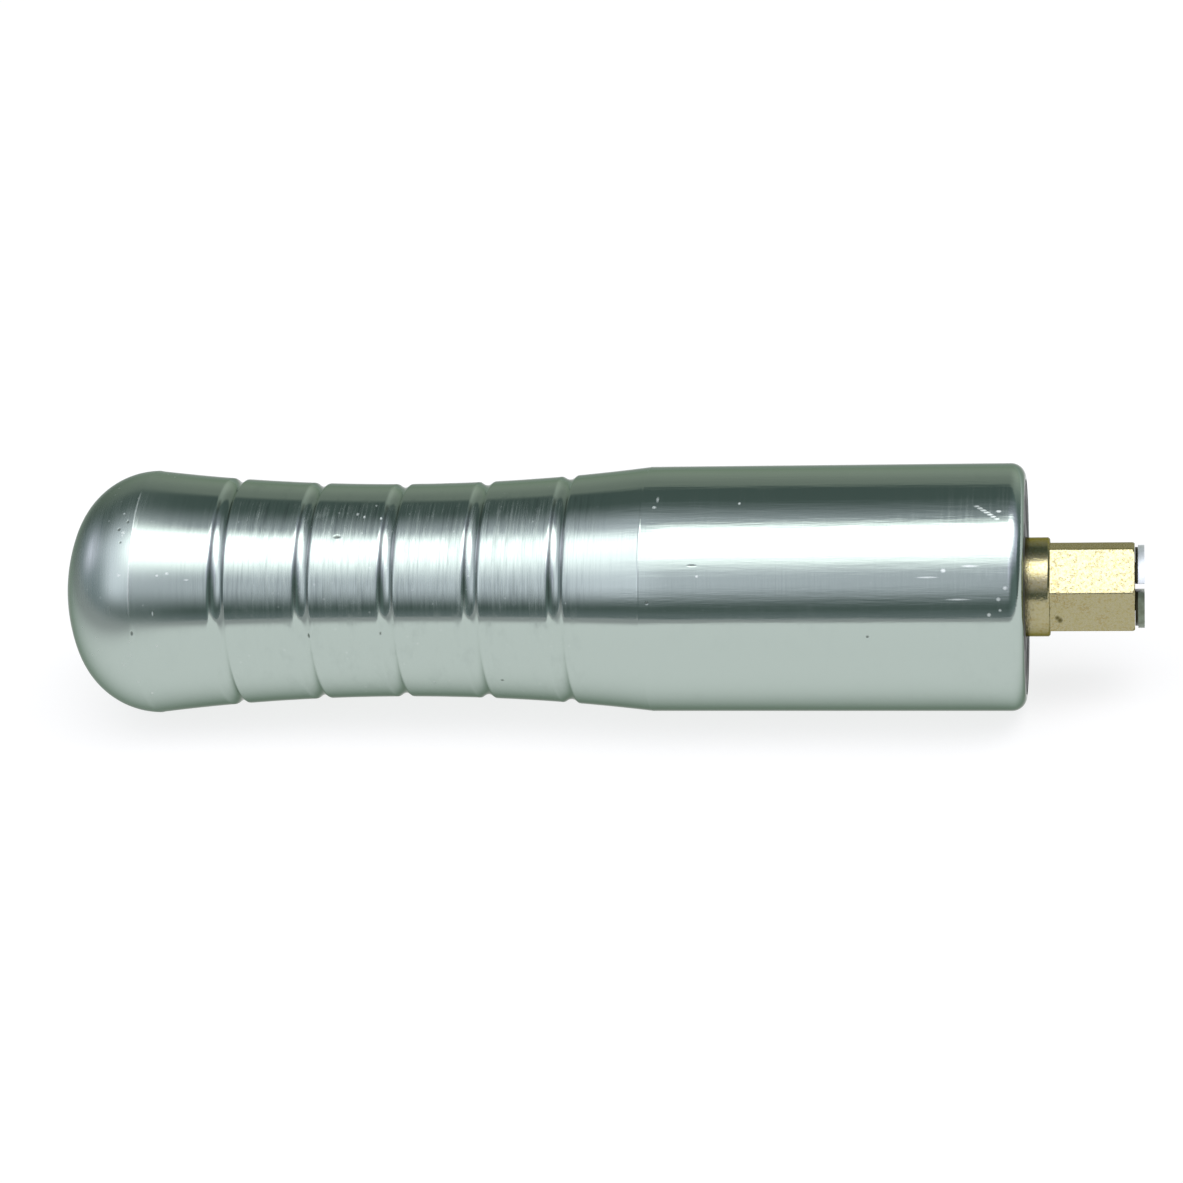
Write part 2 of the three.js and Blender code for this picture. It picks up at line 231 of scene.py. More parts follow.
def finished(name, mesh):
    """Object made from a bmesh, shaded smooth but for its sharp edges."""
    bmesh.ops.recalc_face_normals(mesh, faces=mesh.faces)
    for face in mesh.faces:
        face.smooth = True
    for edge in mesh.edges:
        edge.smooth = len(edge.link_faces) == 2 and edge.calc_face_angle() < SHARP_ANGLE
    data = bpy.data.meshes.new(name)
    mesh.to_mesh(data)
    mesh.free()
    piece = bpy.data.objects.new(name, data)
    bpy.context.scene.collection.objects.link(piece)
    return piece


def arc(x, r, radius, start, end, steps):
    """Points of an arc in the (x, r) plane, angles in degrees from the +X direction."""
    angles = (math.radians(start + (end - start) * i / steps) for i in range(steps + 1))
    return [(x + radius * math.cos(a), r + radius * math.sin(a)) for a in angles]


def changed(piece, modifier_type, **settings):
    """The piece with one modifier applied to its mesh."""
    modifier = piece.modifiers.new("change", modifier_type)
    for name, value in settings.items():
        setattr(modifier, name, value)
    evaluated = piece.evaluated_get(bpy.context.evaluated_depsgraph_get())
    data = bpy.data.meshes.new_from_object(evaluated)
    piece.modifiers.clear()
    piece.data = data
    return piece


def combined(piece, operation, *tools):
    """The piece joined with the tools or cut by them, which are then removed."""
    for tool in tools:
        changed(piece, "BOOLEAN", operation=operation, object=tool, solver="EXACT")
        bpy.data.objects.remove(tool)
    return piece


def softened(piece, width):
    """The piece with its sharp edges rounded off."""
    changed(piece, "BEVEL", width=width * MM, segments=2, limit_method="ANGLE", angle_limit=BEVEL_ANGLE)
    mesh = bmesh.new()
    mesh.from_mesh(piece.data)
    name = piece.name
    bpy.data.objects.remove(piece)
    return finished(name, mesh)


def peg(radius, length, centre, axis):
    """Round tool for a cut or a join, along an axis, all in millimetres."""
    mesh = bmesh.new()
    place = Matrix.Translation(centre * MM) @ axis.to_track_quat("Z", "Y").to_matrix().to_4x4()
    sizes = {"radius1": radius * MM, "radius2": radius * MM, "depth": length * MM}
    bmesh.ops.create_cone(mesh, cap_ends=True, segments=48, matrix=place, **sizes)
    return finished("tool", mesh)


# ---- Node graphs ----

MARK_EDGE = (1.3, 0.3)  # where a mark starts and is complete, over its half size
SPECK_CORE = 0.3  # full part of a speck, over its size


class Graph:
    """Short calls that add nodes to a material or world."""

    def __init__(self, tree):
        self.nodes = tree.nodes
        self.links = tree.links

    def put(self, socket, value):
        if isinstance(value, bpy.types.NodeSocket):
            self.links.new(value, socket)
        else:
            socket.default_value = value

    def add(self, kind, inputs, **settings):
        node = self.nodes.new("ShaderNode" + kind)
        for name, value in settings.items():
            setattr(node, name, value)
        for name, value in inputs.items():
            self.put(node.inputs[name], value)
        return node

    def math(self, operation, *values):
        return self.add("Math", dict(enumerate(values)), operation=operation).outputs[0]

    def smooth(self, value, low, high):
        """0 below low, 1 above high, smooth in between; falls instead if low is above high."""
        inputs = {"Value": value, "From Min": low, "From Max": high}
        return self.add("MapRange", inputs, interpolation_type="SMOOTHSTEP").outputs[0]

    def noise(self, along, around, detail, roughness=0.5):
        """Noise with this many features to a metre, along the X axis and across it."""
        place = self.stretched(along, around, around)
        inputs = {"Vector": place, "Scale": 1.0, "Detail": detail, "Roughness": roughness}
        return self.add("TexNoise", inputs).outputs[0]

    def pattern(self, along, around, detail, roughness, low, high):
        """Noise that is 0 below its low level and 1 above its high one."""
        return self.smooth(self.noise(along, around, detail, roughness), low, high)

    def place(self):
        """Place on the object, in metres."""
        return self.add("TexCoord", {}).outputs["Object"]

    def place_on(self, axis):
        """Place on the object along the X, Y or Z axis, in metres."""
        return self.add("SeparateXYZ", {0: self.place()}).outputs[axis]

    def along(self, start, end):
        """0 up to the start of a stretch of the X axis and 1 past its end, in millimetres."""
        return self.smooth(self.place_on("X"), start * MM, end * MM)

    def height_round(self):
        """Angle of the place on the object round the X axis, in degrees above the -Y side."""
        place = self.add("SeparateXYZ", {0: self.place()})
        front = self.math("MULTIPLY", place.outputs["Y"], -1.0)
        return self.math("DEGREES", self.math("ARCTAN2", place.outputs["Z"], front))

    def stretched(self, x, y, z):
        """Place on the object, in metres, scaled along each axis."""
        return self.add("VectorMath", {0: self.place(), 1: (x, y, z)}, operation="MULTIPLY").outputs[0]

    def mix(self, factor, one, two):
        node = self.add("Mix", {0: factor}, data_type="RGBA")
        for socket, value in ((node.inputs[6], one), (node.inputs[7], two)):
            self.put(socket, value if isinstance(value, bpy.types.NodeSocket) else (*value, 1))
        return node.outputs[2]

    def between(self, factor, low, high):
        """Value that runs from low to high as the factor goes from 0 to 1."""
        return self.add("MapRange", {"Value": factor, "To Min": low, "To Max": high}).outputs[0]

    def bump(self, height, depth):
        """Normal for a height of 0 to 1 that stands for a depth in millimetres."""
        return self.add("Bump", {"Height": height, "Strength": 1.0, "Distance": depth * MM}).outputs[0]

    def marks(self, marks):
        """1 in each mark, 0 elsewhere.

        A mark is its place along the axis, its angle above the -Y side in degrees, its distance from the
        axis, its length along the axis and its width round it, in millimetres but for the angle."""
        found = 0.0
        for x, degrees, r, length, width in marks:
            angle = math.radians(degrees)
            centre = Vector((x, -r * math.cos(angle), r * math.sin(angle))) * MM
            size = (2 / (length * MM), 2 / (width * MM), 2 / (width * MM))
            middle = tuple(c * s for c, s in zip(centre, size))
            away = self.add("VectorMath", {0: self.stretched(*size), 1: middle}, operation="DISTANCE")
            found = self.math("MAXIMUM", found, self.smooth(away.outputs["Value"], *MARK_EDGE))
        return found

    def ring(self, x, width):
        """1 on a fine line round the object at a place along the axis, in millimetres, 0 beside it."""
        away = self.math("ABSOLUTE", self.math("SUBTRACT", self.place_on("X"), x * MM))
        return self.smooth(away, width / 2 * MM, 0.0)

    def specks(self, pitch, size, share):
        """1 in round specks in a share of the cells of a random pattern, pitch and size in millimetres."""
        cells = self.add("TexVoronoi", {"Vector": self.place(), "Scale": 1 / (pitch * MM)})
        chance = self.add("SeparateColor", {0: cells.outputs["Color"]}).outputs[0]
        dot = self.smooth(cells.outputs["Distance"], size / pitch, SPECK_CORE * size / pitch)
        return self.math("MULTIPLY", dot, self.math("LESS_THAN", chance, share))


def new_material(name, metallic=1.0, edge_tint=(1.0, 1.0, 1.0)):
    material = bpy.data.materials.new(name)
    material.use_nodes = True
    graph = Graph(material.node_tree)
    shader = graph.nodes["Principled BSDF"]
    shader.inputs["Metallic"].default_value = metallic
    shader.inputs["Specular Tint"].default_value = (*edge_tint, 1)
    return material, graph, shader


# ---- Materials ----

# The two EDGE colours are a metal's tint where it is seen at a grazing angle
ALUMINIUM_COLOR = (0.43, 0.50, 0.46)
ALUMINIUM_DULL = (0.31, 0.365, 0.34)
ALUMINIUM_EDGE = (0.28, 0.33, 0.28)
# Dirt in the pits and painted shade in the grooves' flanks, then bright scratches and specks and a painted
# highlight on the ridge
ALUMINIUM_DIRT_AND_SHADE = (0.10, 0.115, 0.10)
ALUMINIUM_SCRATCH_AND_HIGHLIGHT = (0.86, 0.9, 0.88)
BRASS_COLOR = (0.37, 0.335, 0.175)
BRASS_DARK = (0.33, 0.27, 0.12)
BRASS_PALE = (0.385, 0.355, 0.215)
# Colour of the nick in a hexagon face, darker than the brass
BRASS_NICK_DARK = (0.11, 0.095, 0.035)
BRASS_EDGE = (0.34, 0.33, 0.2)
# Screw: painted light above the slot, painted shade with stains below it, painted shade on the neck
STEEL_LIT = (0.72, 0.76, 0.78)
STEEL_SHADED = (0.2, 0.24, 0.185)
STEEL_SHADED_STAIN = (0.14, 0.165, 0.12)
STEEL_NECK_SHADE = (0.035, 0.035, 0.02)
SPRING_COLOR = (0.16, 0.16, 0.165)
SPRING_STAIN = (0.10, 0.10, 0.105)
BEARING_COLOR = (0.62, 0.64, 0.65)
BEARING_STAIN = (0.55, 0.57, 0.58)
SEAL_COLOR = (0.025, 0.028, 0.027)
SEAL_DUST = (0.06, 0.065, 0.062)
CAGE_COLOR = (0.27, 0.21, 0.11)
CAGE_PALE = (0.32, 0.26, 0.15)

# Marks, each as place along the axis, angle above the -Y side, radius, length and width
HEXAGON_NICK = ((0.9, -19, 5.2, 0.7, 0.8), (1.2, -23, 5.2, 0.7, 0.9))
PITS = (
    (-112.4, 59, 15.0, 0.45, 0.45), (-111.4, 63, 15.1, 0.3, 0.5), (-112.0, 52, 15.1, 0.35, 0.3),
    (-110.5, 9, 15.1, 0.35, 0.6), (-85.5, 58, 13.3, 0.9, 0.5), (-80.1, 5, 13.1, 0.3, 0.5),
    (-89.0, 4, 13.1, 0.35, 0.6), (-65.9, -26, 13.5, 0.5, 0.4), (-47.2, 22, 15.0, 0.4, 0.4),
    (-41.8, 39, 15.0, 1.2, 0.3), (-21.1, 6, 15.0, 0.4, 0.3),
)
SCRATCHES = (
    (-107.2, 36, 14.8, 0.4, 0.3), (-106.0, 37, 14.7, 0.5, 0.35), (-103.6, 34, 14.4, 0.7, 0.2),
    (-107.8, 18, 14.9, 0.2, 0.6), (-111.9, 36, 15.1, 0.5, 0.3), (-111.8, 57, 15.1, 0.5, 0.4),
    (-83.4, 73, 13.2, 0.35, 0.6), (-82.5, 71, 13.2, 0.35, 0.5), (-80.4, 70, 13.2, 0.35, 0.5),
    (-81.3, 80, 13.2, 0.3, 0.5), (-46.4, 74, 15.0, 0.4, 1.2), (-46.7, 69, 15.0, 0.6, 0.5),
    (-36.5, 71, 15.0, 0.4, 0.5), (-41.2, 34, 15.0, 0.4, 0.3), (-14.0, 33, 15.0, 2.6, 0.2),
    (-12.1, 36, 15.0, 0.6, 0.5), (-10.4, 23, 15.0, 3.2, 0.22), (-9.0, 38, 15.0, 2.0, 0.24),
    (-8.3, 68, 15.0, 0.8, 0.34), (-7.9, 66.8, 15.0, 0.8, 0.34), (-7.5, 65.6, 15.0, 0.8, 0.34),
    (-7.1, 64.4, 15.0, 0.8, 0.32), (-6.7, 63.2, 15.0, 0.8, 0.3), (-6.3, 62, 15.0, 0.7, 0.28),
    (-5.9, 60.8, 15.0, 0.7, 0.26), (-5.7, 65, 15.0, 0.7, 0.4), (-4.9, 28, 15.0, 0.6, 0.5),
    (-5.7, 23, 15.0, 0.6, 0.5), (-6.8, 16, 15.0, 0.5, 0.5), (-5.5, 18, 15.0, 0.4, 0.4),
)
# Painted highlight: a bright ring round the dome's ridge, also raised a little in the relief
RIDGE_HIGHLIGHT = (-110.7, 0.3)  # place along the axis and width
WAIST_LINE = (-48.3, 0.34)
# Painted shade: dark rings on both flanks of each groove
GROOVE_SHADE = ((-0.72, 0.55), (0.8, 0.4))  # place beside a groove's middle, and width

# Where the grip's finish changes, each from none to full, in millimetres along the axis
WAIST_FROM_MOUTH = (-49, -61)
WAIST_FROM_DOME = (-110, -92)
MOUTH_WORN = (-22, -8)
DOME_HAZY = (-100, -113)
DOME_WORN_FROM_MOUTH = (-104, -110)
DOME_WORN_FROM_TIP = (-119, -113)
CYLINDER_DRAWN = (-56, -46)

# Angles above the -Y side between which the grip is scuffed most, and which bound the painted highlight on
# the ridge and the painted shade in the grooves, each from none to full
SCUFFED_FROM_FRONT = (13, 27)
SCUFFED_FROM_TOP = (84, 79)

# Patterns: features to a metre along the axis and across it, detail, roughness, and low and high level
PATCHES = (150, 75, 3.0, 0.6, 0.3, 0.6)
STREAKS = (3600, 80, 4.0, 0.7, 0.38, 0.68)
BLOTCHES = (520, 300, 3.0, 0.6, 0.48, 0.74)
STAINS = (2700, 95, 4.0, 0.7, 0.46, 0.68)
BRASS_DENTS = (2700, 2700, 3.0, 0.6, 0.5, 0.74)

# Noises, without levels
BREAKS = (700, 700, 3.0, 0.6)
FINE_RINGS = (4200, 60, 3.0)
COARSE_RINGS = (1100, 90, 3.0, 0.6)
DRAWN_LINES = (130, 1500, 3.0, 0.6)
BRASS_GRAIN = (4200, 4200, 3.0, 0.6)
BRASS_MOTTLE = (3300, 3300, 3.0, 0.6)
BRASS_CLOUD = (520, 520, 3.0)
SCREW_STAIN = (900, 900, 4.0, 0.6)
SCREW_GRAIN = (3500, 3500, 3.0, 0.6)

SPECKS = (1.1, 0.2, 0.4)  # pitch, size and share

# Strength of the wear, from 0 to 1
MOUTH_WEAR = 0.45
LEAST_WEAR = 0.25
WAIST_SPECKS = 0.45
LEAST_SPECKS = 0.12
SPECK_STRENGTH = 0.8
# Strength of the painted highlight on the ridge
RIDGE_HIGHLIGHT_STRENGTH = 0.5
BUFFED_TINT = 0.35
PIT_DIRT = 0.7

# Roughness, and what is added to it
GRIP_ROUGHNESS = (0.09, 0.36)
PIT_ROUGHNESS = 0.2
DOME_HAZE = 0.15
SCRATCH_ROUGHNESS = 0.35
BRASS_ROUGHNESS = (0.16, 0.36)
COLLAR_POLISH = 0.1  # taken off
SCREW_ROUGHNESS = (0.4, 0.58)

# Depth of each finish in millimetres, and of the marks in it over that depth
GRIP_RELIEF = 0.012
PIT_DEPTH = 2.0
LINE_HEIGHT = 1.6
BRASS_RELIEF = 0.015
DENT_DEPTH = 1.6
NICK_DEPTH = 5.0
SCREW_RELIEF = 0.01

# Where the brass and the screw change, each from none to full, in millimetres
COLLAR_EDGE = (0.3, -0.3)  # the smoother collar, along the axis
SLOT_EDGE = (-0.3, 0.5)  # the painted light on the steel, up from the slot's middle
# The painted shade on the screw's neck fades in over this length
SCREW_NECK_FADE = 0.05


def polished_aluminium():
    """Turned and polished by hand: fine rings and buffing streaks round the axis, most in the grooved waist
    and at the mouth, with pits, scratches and specks, a painted highlight on the ridge and painted shade in
    the grooves."""
    material, graph, shader = new_material("polished_aluminium", edge_tint=ALUMINIUM_EDGE)

    # Where the finish is worn
    angle = graph.height_round()
    waist = graph.math("MULTIPLY", graph.along(*WAIST_FROM_MOUTH), graph.along(*WAIST_FROM_DOME))
    mouth = graph.math("MULTIPLY", graph.along(*MOUTH_WORN), MOUTH_WEAR)
    wear = graph.math("MAXIMUM", graph.math("MAXIMUM", waist, mouth), LEAST_WEAR)
    upper = graph.smooth(angle, *SCUFFED_FROM_FRONT)
    scuffed = graph.math("MULTIPLY", upper, graph.smooth(angle, *SCUFFED_FROM_TOP))
    patches = graph.pattern(*PATCHES)
    broken = graph.noise(*BREAKS)

    # Buffing streaks, stains and lines, a painted highlight on the ridge and painted shade in the grooves
    streaks = graph.pattern(*STREAKS)
    blotches = graph.pattern(*BLOTCHES)
    streaks = graph.math("MULTIPLY", streaks, graph.between(scuffed, 0.1, 1.0))
    buffed = graph.math("ADD", streaks, graph.math("MULTIPLY", blotches, 0.5))
    buffed = graph.math("MULTIPLY", graph.math("MULTIPLY", buffed, graph.between(patches, 0.4, 1.0)), wear)
    stains = graph.pattern(*STAINS)
    stains = graph.math("MULTIPLY", stains, graph.math("MULTIPLY", waist, scuffed))
    # Painted highlight: a bright ring on the ridge, in the band from the front to the top, also raised as a
    # fine line
    ridge_highlight = graph.math("MULTIPLY", scuffed, RIDGE_HIGHLIGHT_STRENGTH)
    ridge_highlight = graph.math("MULTIPLY", graph.ring(*RIDGE_HIGHLIGHT), ridge_highlight)
    lines = graph.math("MAXIMUM", ridge_highlight, graph.ring(*WAIST_LINE))
    # Painted shade: dark rings on the grooves' flanks, in the band from the front to the top
    groove_shade = 0.0
    for groove_x in GROOVES:
        for side, width in GROOVE_SHADE:
            groove_shade = graph.math("MAXIMUM", groove_shade, graph.ring(groove_x + side, width))
    groove_shade = graph.math("MULTIPLY", groove_shade, graph.math("MULTIPLY", scuffed, graph.between(broken, 0.3, 1.0)))

    # Pits, scratches and specks
    pits = graph.marks(PITS)
    worn_end = graph.math("MULTIPLY", graph.along(*DOME_WORN_FROM_MOUTH), graph.along(*DOME_WORN_FROM_TIP))
    worn = graph.math("MAXIMUM", worn_end, graph.math("MULTIPLY", waist, WAIST_SPECKS))
    worn = graph.math("MULTIPLY", graph.math("MAXIMUM", worn, LEAST_SPECKS), patches)
    specks = graph.math("MULTIPLY", graph.specks(*SPECKS), worn)
    scratches = graph.math("MAXIMUM", graph.marks(SCRATCHES), graph.math("MULTIPLY", specks, SPECK_STRENGTH))

    color = graph.mix(graph.math("MULTIPLY", buffed, BUFFED_TINT), ALUMINIUM_COLOR, ALUMINIUM_DULL)
    color = graph.mix(stains, color, ALUMINIUM_DULL)
    # Dirt in the pits and painted shade in the grooves
    dirt_and_shade = graph.math("MAXIMUM", graph.math("MULTIPLY", pits, PIT_DIRT), groove_shade)
    color = graph.mix(dirt_and_shade, color, ALUMINIUM_DIRT_AND_SHADE)
    # Scratches and specks, and the painted highlight on the ridge
    bright = graph.math("MAXIMUM", scratches, ridge_highlight)
    color = graph.mix(graph.math("MULTIPLY", bright, broken), color, ALUMINIUM_SCRATCH_AND_HIGHLIGHT)
    graph.put(shader.inputs["Base Color"], color)

    rough = graph.between(buffed, *GRIP_ROUGHNESS)
    rough = graph.math("ADD", rough, graph.math("MULTIPLY", pits, PIT_ROUGHNESS))
    rough = graph.math("ADD", rough, graph.math("MULTIPLY", graph.along(*DOME_HAZY), DOME_HAZE))
    rough = graph.math("ADD", rough, graph.math("MULTIPLY", bright, SCRATCH_ROUGHNESS))
    graph.put(shader.inputs["Roughness"], rough)

    # Relief: rings where the grip is worn, drawn lines along its cylinder
    rings = graph.math("ADD", graph.noise(*FINE_RINGS), graph.noise(*COARSE_RINGS))
    rings = graph.math("MULTIPLY", rings, graph.between(wear, 0.2, 0.9))
    rings = graph.math("MULTIPLY", rings, graph.between(upper, 0.5, 1.0))
    drawn = graph.math("MULTIPLY", graph.along(*CYLINDER_DRAWN), graph.between(upper, 0.3, 1.4))
    height = graph.math("ADD", rings, graph.math("MULTIPLY", graph.noise(*DRAWN_LINES), drawn))
    height = graph.math("SUBTRACT", height, graph.math("MULTIPLY", pits, PIT_DEPTH))
    height = graph.math("ADD", height, graph.math("MULTIPLY", lines, LINE_HEIGHT))
    graph.put(shader.inputs["Normal"], graph.bump(height, GRIP_RELIEF))
    return material


def spindle_brass():
    """Brass with a rough skin: mottled hexagon faces, with a nick in one of them, and a smoother collar."""
    material, graph, shader = new_material("spindle_brass", edge_tint=BRASS_EDGE)
    collar = graph.along(*COLLAR_EDGE)
    grain = graph.noise(*BRASS_GRAIN)
    mottle = graph.noise(*BRASS_MOTTLE)
    cloud = graph.noise(*BRASS_CLOUD)
    dents = graph.pattern(*BRASS_DENTS)
    nick = graph.marks(HEXAGON_NICK)
    color = graph.mix(graph.smooth(cloud, 0.5, 0.75), BRASS_COLOR, BRASS_DARK)
    color = graph.mix(graph.smooth(mottle, 0.42, 0.56), color, BRASS_PALE)
    color = graph.mix(graph.smooth(mottle, 0.4, 0.28), color, BRASS_DARK)
    # The nick is coloured dark
    graph.put(shader.inputs["Base Color"], graph.mix(nick, color, BRASS_NICK_DARK))
    rough = graph.between(grain, *BRASS_ROUGHNESS)
    rough = graph.math("SUBTRACT", rough, graph.math("MULTIPLY", collar, COLLAR_POLISH))
    graph.put(shader.inputs["Roughness"], rough)
    skin = graph.math("ADD", grain, mottle)
    skin = graph.math("SUBTRACT", skin, graph.math("MULTIPLY", dents, DENT_DEPTH))
    skin = graph.math("MULTIPLY", skin, graph.between(collar, 1.0, 0.3))
    height = graph.math("SUBTRACT", skin, graph.math("MULTIPLY", nick, NICK_DEPTH))
    graph.put(shader.inputs["Normal"], graph.bump(height, BRASS_RELIEF))
    return material


def grey_metal(name, bright, dark, roughness, grain_size, depth, spread=1.0):
    """Metal with a fine grain, its size in millimetres, drawn out round the axis where spread is under 1."""
    material, graph, shader = new_material(name)
    scale = 1 / (grain_size * MM)
    grain = graph.noise(scale, scale * spread, 3.0, 0.6)
    stain = graph.noise(700, 700, 4.0, 0.6)
    graph.put(shader.inputs["Base Color"], graph.mix(graph.smooth(stain, 0.35, 0.7), bright, dark))
    graph.put(shader.inputs["Roughness"], graph.between(grain, roughness - 0.05, roughness + 0.08))
    graph.put(shader.inputs["Normal"], graph.bump(grain, depth))
    return material


def screw_steel():
    """Steel with painted light above the slot, painted shade with stains below it, and painted shade on the
    neck.
    """
    material, graph, shader = new_material("screw_steel")
    stain = graph.noise(*SCREW_STAIN)
    grain = graph.noise(*SCREW_GRAIN)
    # Painted shade, with stains, below the slot
    shaded_half = graph.mix(graph.smooth(stain, 0.35, 0.7), STEEL_SHADED, STEEL_SHADED_STAIN)
    slot = math.radians(SLOT_DEGREES)
    across = (0, math.sin(slot), math.cos(slot))
    off_slot = graph.add("VectorMath", {0: graph.place(), 1: across}, operation="DOT_PRODUCT")
    above = graph.smooth(off_slot.outputs["Value"], SLOT_EDGE[0] * MM, SLOT_EDGE[1] * MM)
    # Painted light above the slot, broken by the stains
    lit_half = graph.math("MULTIPLY", above, graph.between(graph.smooth(stain, 0.4, 0.75), 1.0, 0.8))
    # Painted shade on the neck, between the hexagon's end and the screw's head
    head = span("end_screw")[1] - SCREW_HEAD_THICKNESS
    neck = graph.along(head, head - SCREW_NECK_FADE)
    color = graph.mix(lit_half, shaded_half, STEEL_LIT)
    graph.put(shader.inputs["Base Color"], graph.mix(neck, color, STEEL_NECK_SHADE))
    graph.put(shader.inputs["Roughness"], graph.between(above, *SCREW_ROUGHNESS))
    graph.put(shader.inputs["Normal"], graph.bump(grain, SCREW_RELIEF))
    return material


def moulded(name, color, pale, roughness, grain_size, depth):
    """Rubber or plastic with a moulded skin, its grain's size in millimetres."""
    material, graph, shader = new_material(name, metallic=0.0)
    scale = 1 / (grain_size * MM)
    grain = graph.noise(scale, scale, 3.0, 0.6)
    dust = graph.noise(180, 180, 5.0, 0.65)
    graph.put(shader.inputs["Base Color"], graph.mix(graph.smooth(dust, 0.5, 0.8), color, pale))
    graph.put(shader.inputs["Roughness"], graph.between(dust, roughness - 0.1, roughness + 0.1))
    graph.put(shader.inputs["Normal"], graph.bump(grain, depth))
    return material


MATERIALS = {
    "polished_aluminium": polished_aluminium(),
    "spindle_brass": spindle_brass(),
    "screw_steel": screw_steel(),
    "spring_steel": grey_metal(
        "spring_steel", SPRING_COLOR, SPRING_STAIN, roughness=0.38, grain_size=0.2, depth=0.008,
    ),
    "bearing_steel": grey_metal(
        "bearing_steel", BEARING_COLOR, BEARING_STAIN, roughness=0.12, grain_size=0.12, depth=0.001,
        spread=0.02,
    ),
    "black_seal": moulded(
        "black_seal", SEAL_COLOR, SEAL_DUST, roughness=0.5, grain_size=0.15, depth=0.01,
    ),
    "cage_plastic": moulded(
        "cage_plastic", CAGE_COLOR, CAGE_PALE, roughness=0.45, grain_size=0.12, depth=0.006,
    ),
}

BODY_OF = {node: body for body, nodes in frame["record"]["behaviour"]["bodies"].items() for node in nodes}


def stand_for(piece, node, slot):
    """The piece takes a CAD node's place, on its body, with the material of its slot."""
    piece.data.materials.clear()
    piece.data.materials.append(MATERIALS[slot])
    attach(piece, BODY_OF[node])
    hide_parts(node)


# ---- Grip ----

def waist_radius(x):
    """Radius of the concave waist, with its finger grooves."""
    radius = WAIST_RADIUS + WAIST_ARC_RADIUS - math.sqrt(WAIST_ARC_RADIUS**2 - (x - WAIST_CENTRE_X)**2)
    for groove_x in GROOVES:
        across = (x - groove_x) / (GROOVE_WIDTH / 2)
        depth = GROOVE_DEPTH * (1 - across**2)
        radius -= (depth + math.sqrt(depth**2 + GROOVE_LIP**2)) / 2 if abs(across) < 3 else 0
    return radius


def grip_outside(mouth_x, tip_x):
    """Outline of the grip from the edge of its mouth to the tip of its dome."""
    rise = GRIP_RADIUS - WAIST_RADIUS
    waist_start = WAIST_CENTRE_X + math.sqrt(WAIST_ARC_RADIUS**2 - (WAIST_ARC_RADIUS - rise)**2)
    corner_r = RIDGE_RADIUS - DOME_CORNER_RADIUS
    reach = DOME_CROWN_RADIUS - DOME_CORNER_RADIUS
    crown_x = tip_x + DOME_CROWN_RADIUS
    corner_x = crown_x - math.sqrt(reach**2 - corner_r**2)
    blend = math.degrees(math.asin(corner_r / reach))
    rounding_x = mouth_x - MOUTH_ROUNDING
    ridge_x = corner_x + RIDGE_WIDTH
    foot = RIDGE_RADIUS - RIDGE_LIP
    steps = 420
    waist = [waist_start + (ridge_x - waist_start) * i / steps for i in range(steps + 1)]
    sink = waist_radius(ridge_x) - foot
    return [
        *arc(rounding_x, GRIP_RADIUS - MOUTH_ROUNDING, MOUTH_ROUNDING, 0, 90, 16),
        *((rounding_x + (waist_start - rounding_x) * i / 12, GRIP_RADIUS) for i in range(1, 12)),
        *((x, waist_radius(x) - sink * (i / steps)**4) for i, x in enumerate(waist)),
        *arc(corner_x, corner_r, DOME_CORNER_RADIUS, 90, 180 - blend, 40),
        *arc(crown_x, 0, DOME_CROWN_RADIUS, 180 - blend, 180, 14)[1:-1],
        (tip_x, 0.0),
    ]


def grip_inside(mouth_x):
    """Outline of the bore, from its blind end to the mouth."""
    clip_low, clip_high, _ = span("mouth_retaining_ring")
    pocket_end, _, pocket = span("mouth_bearing_outer_ring")
    bore_end, _, bore = span("tip_bearing_outer_ring")
    bore_end -= WASHER_ROOM
    relief_end = span("spindle")[0] - RELIEF_DEPTH
    pocket += FIT
    bore += FIT
    return [
        (relief_end, 0.0), (relief_end, RELIEF_RADIUS), (bore_end, RELIEF_RADIUS), (bore_end, bore),
        (pocket_end - FIT, bore), (pocket_end - FIT, pocket),
        (clip_low - FIT, pocket), (clip_low - FIT, CLIP_GROOVE_RADIUS),
        (clip_high + FIT, CLIP_GROOVE_RADIUS), (clip_high + FIT, pocket), (mouth_x, pocket),
    ]


def grip():
    tip_x, mouth_x, _ = span("grip_body")
    outline = grip_inside(mouth_x) + grip_outside(mouth_x, tip_x)
    stand_for(turned("grip_sleeve", outline, full_turn(192), closed=False), "grip_body", "polished_aluminium")


def dust_cover():
    """Thin cover with a sunk panel, on a skirt in the grip's mouth."""
    low, high, rim = span("dust_cover")
    web = high - COVER_WEB
    skirt = rim - COVER_RIM
    hole = COLLAR_RADIUS + RUN
    panel = high - COVER_PANEL_DEPTH
    outline = rounded([
        (low, rim, 0.15), (low, skirt, 0.1), (web, skirt, 0.1), (web, hole, 0.1), (high, hole, 0.12),
        (high, COVER_PANEL_INNER - COVER_PANEL_SLOPE, 0.1), (panel, COVER_PANEL_INNER, 0.1),
        (panel, COVER_PANEL_OUTER, 0.1), (high, COVER_PANEL_OUTER + COVER_PANEL_SLOPE, 0.1),
        (high, rim, 0.25),
    ])
    stand_for(turned("mouth_cover", outline), "dust_cover", "black_seal")


# ---- Spindle ----

